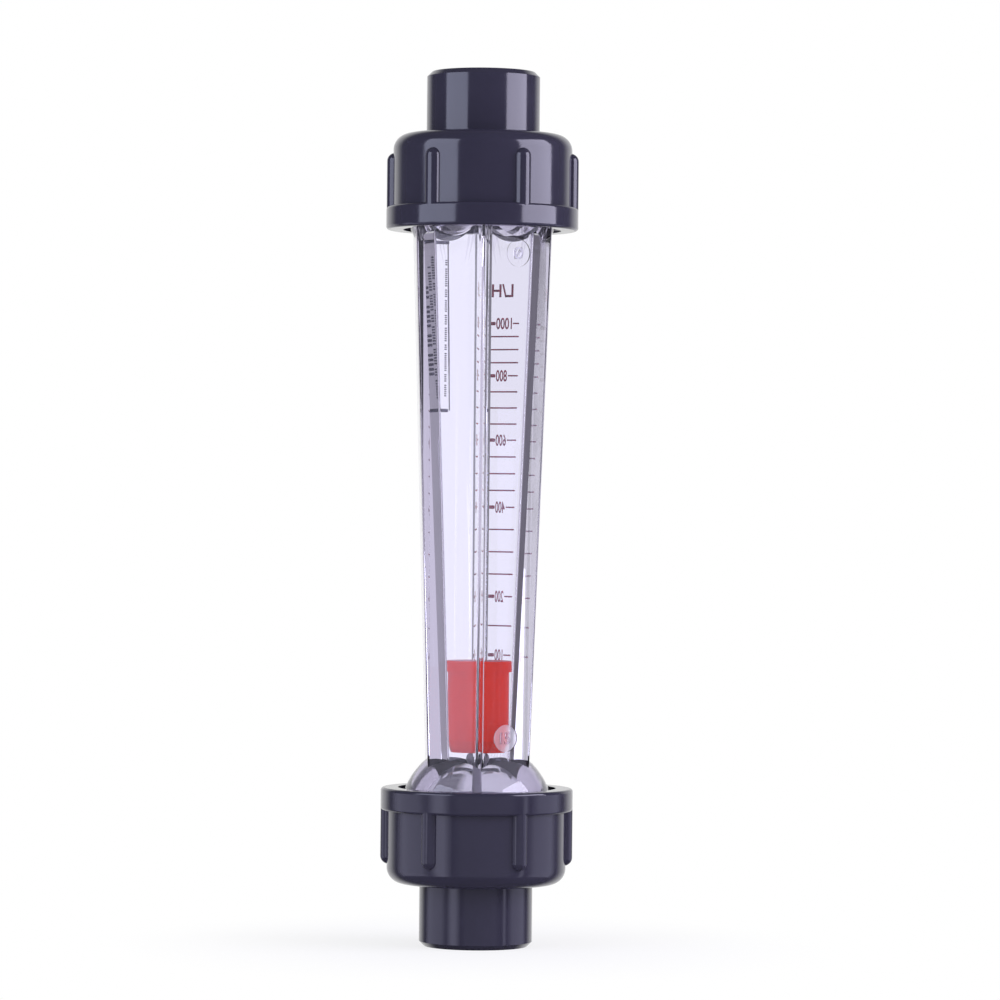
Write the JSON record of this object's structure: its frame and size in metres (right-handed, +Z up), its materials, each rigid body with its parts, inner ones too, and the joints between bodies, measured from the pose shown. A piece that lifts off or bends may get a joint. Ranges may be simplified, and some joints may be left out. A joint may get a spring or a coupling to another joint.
{
  "type": "rotameter",
  "caption": "Clear hexagonal tapered tube with a red float that rises with the flow, held between two dark union nuts with pipe sockets.",
  "frame": {"origin": "centre of the lower socket's end face, on the pipe axis", "axes": "+Z up along the pipe axis, -Y towards the corner of the tube that faces the viewer, +X to the viewer's right"},
  "size_m": [0.044, 0.044, 0.2],
  "materials": {
    "clear_tube": "clear moulded styrene copolymer, polished",
    "nut_plastic": "dark grey moulded rigid PVC, semi-gloss",
    "socket_plastic": "dark grey moulded rigid PVC, semi-gloss",
    "seal_rubber": "black nitrile rubber",
    "stop_plastic": "grey moulded plastic",
    "float_plastic": "red moulded plastic",
    "weight_steel": "turned stainless steel"
  },
  "bodies": {
    "meter_body": {"metering_tube": "clear_tube", "lower_socket": "socket_plastic", "upper_socket": "socket_plastic", "lower_seal_ring": "seal_rubber", "upper_seal_ring": "seal_rubber", "lower_float_stop": "stop_plastic", "upper_float_stop": "stop_plastic"},
    "float": {"float_cup": "float_plastic", "float_weight": "weight_steel", "float_cap": "float_plastic"},
    "lower_nut": {"lower_union_nut": "nut_plastic"},
    "upper_nut": {"upper_union_nut": "nut_plastic"}
  },
  "joints": [
    {"name": "float_slide", "type": "slide", "parent": "meter_body", "child": "float", "axis": [0, 0, 1], "range_m": [0, 0.1005]},
    {"name": "lower_nut_turn", "type": "hinge", "parent": "meter_body", "child": "lower_nut", "pos_m": [0, 0, 0.025], "axis": [0, 0, -1], "range_deg": [0, 900]},
    {"name": "upper_nut_turn", "type": "hinge", "parent": "meter_body", "child": "upper_nut", "pos_m": [0, 0, 0.175], "axis": [0, 0, 1], "range_deg": [0, 900]}
  ]
}
